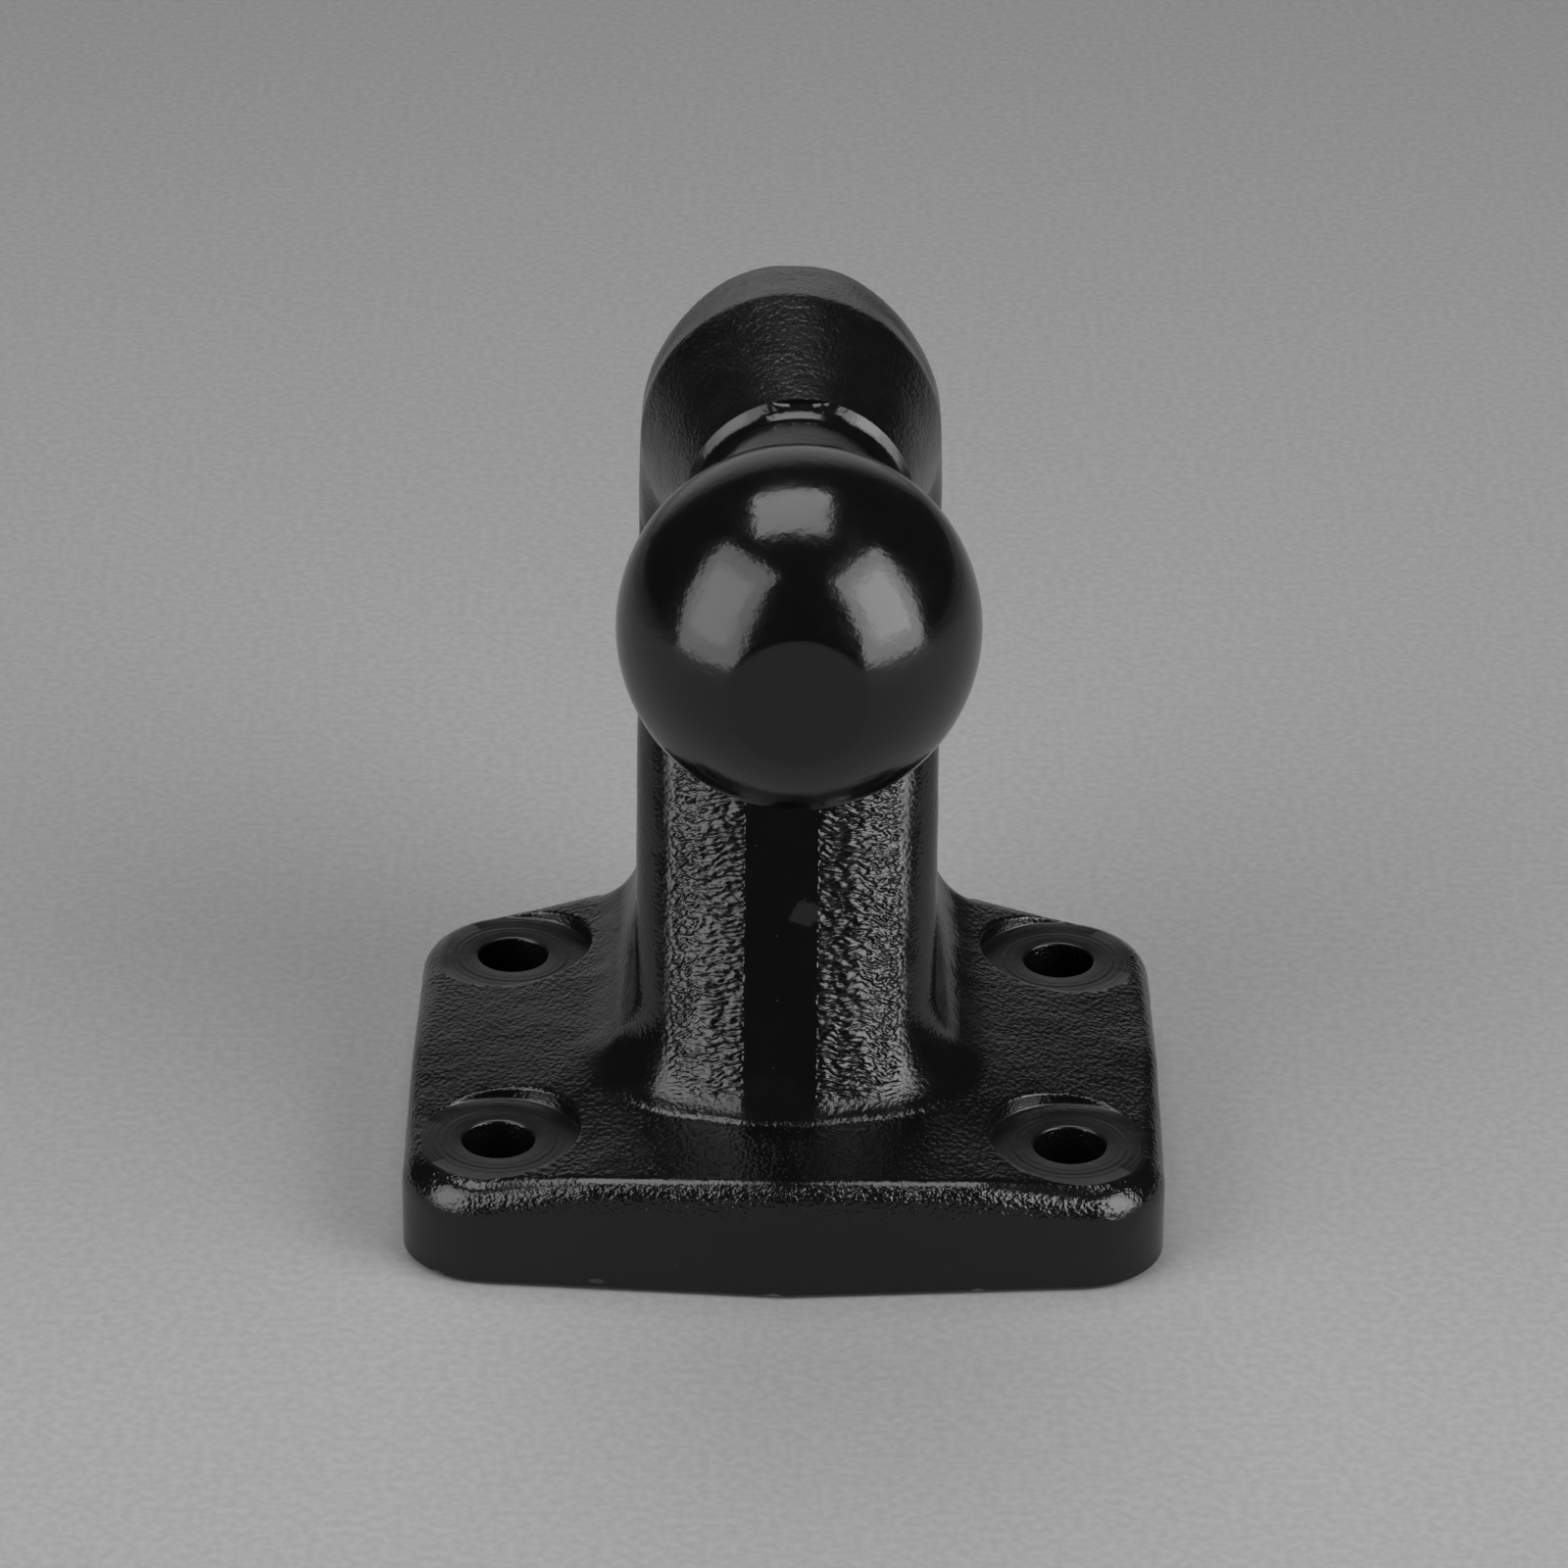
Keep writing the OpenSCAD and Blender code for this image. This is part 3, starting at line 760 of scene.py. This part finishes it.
def coat_areas(nodes, vector, scene):
    """Masks of the coat's areas: forged skin, land and front of the neck, the highest parts, and the
    lip and brow of the flange's front edge. Aside and Z are lengths."""
    below_ball, neck_top, neck_back, high = 0.076, 0.09, 0.03, (0.09, 0.1)
    land_foot, front_foot, front_top = (0.0187, 0.0215), (0.02, 0.0225), (0.086, 0.094)
    front_side, lip_foot, lip_start = (0.0155, 0.0175), (0.012, 0.014), (0.0015, 0.002)
    brow_start, edge_slope, edge_y, falling = (-0.0002, 0.0003), 0.076, -0.0438, (1.0, 0.0)
    turned, arm, ramp, less = scene.turned_end, scene.forged_arm, nodes.ramp, "LESS_THAN"
    place = nodes.add("SeparateXYZ", {0: vector}).outputs
    x, y, z = nodes.math("ABSOLUTE", place["X"]), place["Y"], place["Z"]
    aside = nodes.away(place["X"], arm.land_shift)
    half, end_y = arm.land / 2, turned.collar_end - turned.reach
    forged = nodes.math("MAXIMUM", ramp(y, end_y, end_y + 0.0002), nodes.math(less, z, below_ball))
    ragged = nodes.line(nodes.noise(nodes.scaled(vector, (40, 0, 500)), 1.0), 0.0014, -0.0007)
    land = nodes.times(ramp(nodes.plus(aside, ragged), half - 0.0002, half + 0.0002, *falling), forged,
                       nodes.math(less, z, neck_top), ramp(z, *land_foot))
    front = nodes.times(ramp(z, *front_foot), ramp(z, *front_top, *falling), ramp(x, *front_side, *falling),
                        ramp(aside, half - 0.0003, half + 0.0001), nodes.math(less, y, neck_back))
    ahead = nodes.math("SUBTRACT", nodes.line(x, edge_slope, edge_y), y)
    lip = nodes.times(ramp(ahead, *lip_start), ramp(z, *lip_foot))
    brow = nodes.times(ramp(ahead, *brow_start), ramp(ahead, *lip_start, *falling))
    return {"forged": forged, "land": land, "front": front, "high": ramp(z, *high),
            "lip": lip, "brow": brow, "aside": aside, "z": z}


def coat_height(nodes, vector, area, skin, rings, size):
    """Height of the coat: waves on the neck's front, pebbles on the other forged skin, which are higher
    on the lip and calmer on the wall, the brow and the arm, grooves in the seats, and a fine grain."""
    line, ramp, times, noise = nodes.line, nodes.ramp, nodes.times, nodes.noise
    wrinkle = nodes.add("Group", {"Vector": vector, "Size": size}, node_tree=wrinkle_group()).outputs
    waves = times(wrinkle["Waves"], area["front"], ramp(area["aside"], 0.009, 0.014, 2.0, 3.0))
    patchy = ramp(noise(vector, 90.0, 3.0), 0.3, 0.7, 0.75, 1.1)
    calm = line(area["high"], -0.42, ramp(area["z"], 0.0184, 0.0192, 0.0, 0.6))
    pebbles = times(wrinkle["Pebbles"], patchy, ramp(area["z"], 0.010, 0.013, 0.15, 1.0),
                    line(area["lip"], 0.9, 1.0), line(area["brow"], -0.7, 1.0),
                    line(area["front"], -0.7, 1.0), nodes.math("SUBTRACT", 1.0, calm))
    return nodes.plus(times(nodes.plus(waves, pebbles), skin),
                      times(rings["Height"], rings["Seat"], 0.35),
                      times(noise(vector, 700.0, 2.0, 0.55), nodes.math("SUBTRACT", 1.0, skin), 0.2),
                      times(noise(vector, 1700.0, 1.0), line(skin, 0.12, 0.03)))


def coat_wear(nodes, vector, land):
    """Where the coat is gone: the chips, and dust specks in some cells of a Voronoi pattern, more of them
    on the land."""
    chipped, worn = chip_group(), None
    for centre, size, gone in CHIPS:
        given = {"Vector": vector, "Centre": centre, "Size": size}
        bared = nodes.times(nodes.add("Group", given, node_tree=chipped).outputs["Mask"], gone)
        worn = bared if worn is None else nodes.math("MAXIMUM", worn, bared)
    cells = nodes.add("TexVoronoi", {"Vector": vector, "Scale": 330.0}).outputs
    dot = nodes.math("LESS_THAN", cells["Distance"], 0.045)
    draw = nodes.add("SeparateColor", {0: cells["Color"]}).outputs[0]
    some = nodes.math("GREATER_THAN", draw, nodes.line(land, -0.5, 0.93))
    return nodes.math("MAXIMUM", worn, nodes.times(dot, some, 0.4))


def coat_material(scene):
    """The black coat: wrinkled over the forged skin, smooth on the trimmed land, the seats and the turned
    end, with dust specks and bare-metal chips along the mounting face's edge."""
    finish, holes = scene.coat_finish, scene.bolt_holes
    material = bpy.data.materials.new("black_coat")
    nodes = fresh_nodes(material)
    vector = nodes.add("TexCoord").outputs["Object"]
    pattern = {"Vector": vector, "Spacing X": holes.spacing_x, "Spacing Y": holes.spacing_y, "Pitch": 0.0006,
               "Seat Radius": holes.seat_diameter / 2, "Seat Height": holes.seat_height}
    rings = nodes.add("Group", pattern, node_tree=tool_ring_group()).outputs
    area = coat_areas(nodes, vector, scene)
    seat, land, forged = rings["Seat"], area["land"], area["forged"]
    bare = nodes.math("MAXIMUM", nodes.math("SUBTRACT", 1.0, forged), nodes.math("MAXIMUM", seat, land))
    skin = nodes.math("SUBTRACT", 1.0, bare)
    height = coat_height(nodes, vector, area, skin, rings, finish.peel_size)
    bump = nodes.add("Bump", {"Height": height, "Strength": 1.0, "Distance": finish.peel_height})
    worn = coat_wear(nodes, vector, land)
    gloss = nodes.add("Mix", {"Factor": skin, "A": finish.turned_gloss, "B": finish.forged_gloss})
    gloss = nodes.line(area["front"], -0.02, gloss.outputs[0])
    gloss = nodes.line(nodes.times(area["high"], forged), 0.085, gloss)
    smudge = nodes.ramp(nodes.noise(vector, 160.0, 3.0, 0.6), 0.3, 0.75, -0.03, 0.05)
    rough = nodes.line(worn, 0.2, nodes.plus(nodes.line(seat, 0.14, gloss), smudge))
    colour = nodes.add("Mix", {"Factor": worn, 6: (*finish.colour, 1.0), 7: (*finish.worn, 1.0)},
                       data_type="RGBA").outputs[2]
    shader = nodes.add("BsdfPrincipled", {"Base Color": colour, "Roughness": rough, "IOR": 1.5,
                                          "Normal": bump.outputs["Normal"]})
    nodes.add("OutputMaterial", {"Surface": shader.outputs[0]})
    return material


# Operators

class TOWBALL_OT_forging(bpy.types.Operator):
    """Builds the forging's skin, from the mounting face to the ball's tip, in place of the plain node"""
    bl_idname = "towball.forging"
    bl_label = "Forging"

    def execute(self, context):
        scene = context.scene
        grid, (top, foot) = skin_grid(scene)
        under = (0, -scene.flange_plate.offset, 0)
        inner = mix(np.array(under), grid[0], np.linspace(0.1, 1, 4)[:-1, None, None])
        mesh = closed_mesh("tow_ball_forging", np.concatenate([inner, grid]), under, grid[-1].mean(0))
        piece = put_object("tow_ball_forging", mesh)
        below, above = 8, 14
        cut_seats(piece, scene.bolt_holes, grid[top - below:foot + above].reshape(-1, 3))
        piece.data.name = "tow_ball_forging"
        piece.data.shade_smooth()
        piece.data.set_sharp_from_angle(angle=radians(38))
        piece.data.materials.clear()
        piece.data.materials.append(coat_material(scene))
        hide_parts("flanged_tow_ball")
        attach(piece, "root")
        return {"FINISHED"}


# Softboxes: name, centre, point aimed at, width, height and radiance
SOFTBOXES = (
    ("softbox_left", (-0.740, -0.480, 0.530), (-0.07, 0.05, 0.11), 0.86, 1.18, 2.6),
    ("softbox_left_middle", (-0.733, -0.474, 0.526), (-0.07, 0.05, 0.11), 0.50, 0.70, 1.3),
    ("softbox_right", (0.780, -0.460, 0.550), (-0.02, 0.00, 0.21), 0.81, 1.09, 3.9),
    ("softbox_right_middle", (0.772, -0.455, 0.546), (-0.02, 0.00, 0.21), 0.47, 0.65, 2.4),
    ("softbox_top", (-0.080, 0.205, 1.110), (-0.08, 0.205, 0.0), 0.70, 0.66, 3.8),
)

FLOOR_RADIUS, FLOOR_SIDES = 2.6, 96


class TOWBALL_OT_stage(bpy.types.Operator):
    """Sets up the floor, the softboxes, the surroundings and the camera"""
    bl_idname = "towball.stage"
    bl_label = "Stage"

    def execute(self, context):
        scene, settings = context.scene, context.scene.stage_settings
        self.floor(settings)
        for softbox in SOFTBOXES:
            self.softbox(*softbox)
        self.surroundings(scene)
        self.camera(scene, settings)
        scene.view_settings.view_transform = "Standard"
        return {"FINISHED"}

    def floor(self, settings):
        """A round pale floor, which fades out towards its rim, where the surroundings are as pale."""
        angle = np.linspace(0, 2 * pi, FLOOR_SIDES + 1)[:-1]
        ring = FLOOR_RADIUS * np.stack([np.cos(angle), np.sin(angle), 0 * angle], 1)
        mesh = bpy.data.meshes.new("floor")
        mesh.from_pydata(ring.tolist(), [], [list(range(FLOOR_SIDES))])
        floor = put_object("floor", mesh)
        material = bpy.data.materials.new("floor_paper")
        nodes = fresh_nodes(material)
        vector = nodes.add("TexCoord").outputs["Object"]
        grain = nodes.ramp(nodes.noise(vector, 700.0, 2.0), 0.3, 0.7, 0.94, 1.06)
        shader = nodes.add("BsdfDiffuse", {"Color": nodes.multiple(settings.floor_colour, grain)})
        fade = nodes.ramp(nodes.size(vector), 0.3 * FLOOR_RADIUS, 0.98 * FLOOR_RADIUS)
        clear = nodes.add("BsdfTransparent")
        both = nodes.add("MixShader", {0: fade, 1: shader.outputs[0], 2: clear.outputs[0]})
        nodes.add("OutputMaterial", {"Surface": both.outputs[0]})
        mesh.materials.append(material)

    def softbox(self, name, centre, aim, width, height, radiance):
        """A rectangular area light of the given radiance, aimed at a point."""
        lamp = bpy.data.lights.new(name, "AREA")
        lamp.shape, lamp.size, lamp.size_y = "RECTANGLE", width, height
        lamp.energy = radiance * pi * width * height
        light = put_object(name, lamp)
        light.location = centre
        light.rotation_euler = (Vector(aim) - Vector(centre)).to_track_quat("-Z", "Y").to_euler()
        light.visible_camera = False

    def surroundings(self, scene):
        """A dim room: as pale as the floor below the horizon, dark above it, with a soft glow low behind."""
        scene.world = bpy.data.worlds.new("studio")
        nodes = fresh_nodes(scene.world)
        direction = nodes.add("TexCoord").outputs["Generated"]
        toward = nodes.add("SeparateXYZ", {0: direction}).outputs
        low = nodes.ramp(toward["Z"], -0.12, 0.02, 0.34, 0.02)
        glow = nodes.add("VectorMath", {0: direction, 1: (-0.10, 0.992, 0.080)},
                         operation="DOT_PRODUCT").outputs["Value"]
        behind = nodes.ramp(glow, 0.83, 0.99, 0.0, 0.46)
        strength = nodes.math("MAXIMUM", low, behind)
        shader = nodes.add("Background", {"Color": (1.0, 1.0, 1.0, 1.0), "Strength": strength})
        nodes.add("OutputWorld", {"Surface": shader.outputs[0]})

    def camera(self, scene, settings):
        """The camera looks along +Y and down by its elevation, at a point above the origin."""
        data = bpy.data.cameras.new("camera")
        data.sensor_width, data.lens = 36.0, settings.focal_length
        tilt, roll = settings.elevation, settings.roll
        forward = Vector((0, np.cos(tilt), -np.sin(tilt)))
        up = Vector((0, np.sin(tilt), np.cos(tilt)))
        right = Vector((1, 0, 0))
        turned_right = np.cos(roll) * right + np.sin(roll) * up
        turned_up = np.cos(roll) * up - np.sin(roll) * right
        camera = put_object("camera", data)
        axes = Matrix((turned_right, turned_up, -forward)).transposed().to_4x4()
        axes.translation = settings.lift * turned_up - settings.distance * forward
        camera.matrix_world = axes
        scene.camera = camera


class TOWBALL_PT_panel(bpy.types.Panel):
    """Sizes, finish and the steps that build the model"""
    bl_idname = "TOWBALL_PT_panel"
    bl_label = "Tow ball"
    bl_space_type = "VIEW_3D"
    bl_region_type = "UI"
    bl_category = "Tow Ball"

    def draw(self, context):
        for operator in (TOWBALL_OT_forging, TOWBALL_OT_stage):
            self.layout.operator(operator.bl_idname)
        for name in GROUPS:
            group = getattr(context.scene, name)
            box = self.layout.box()
            box.label(text=name.replace("_", " ").capitalize())
            for key in group.__annotations__:
                box.prop(group, key)


GROUPS = {"turned_end": TurnedEndSizes, "forged_arm": ForgedArmSizes, "flange_plate": FlangeSizes,
          "bolt_holes": BoltHoleSizes, "coat_finish": CoatFinish, "stage_settings": StageSettings}
CLASSES = (*GROUPS.values(), TOWBALL_OT_forging, TOWBALL_OT_stage, TOWBALL_PT_panel)


def register():
    for cls in CLASSES:
        bpy.utils.register_class(cls)
    for name, cls in GROUPS.items():
        setattr(bpy.types.Scene, name, PointerProperty(type=cls))


def unregister():
    for name in GROUPS:
        delattr(bpy.types.Scene, name)
    for cls in reversed(CLASSES):
        bpy.utils.unregister_class(cls)


def main():
    register()
    bpy.ops.towball.forging()
    bpy.ops.towball.stage()


if __name__ == "__main__":
    main()
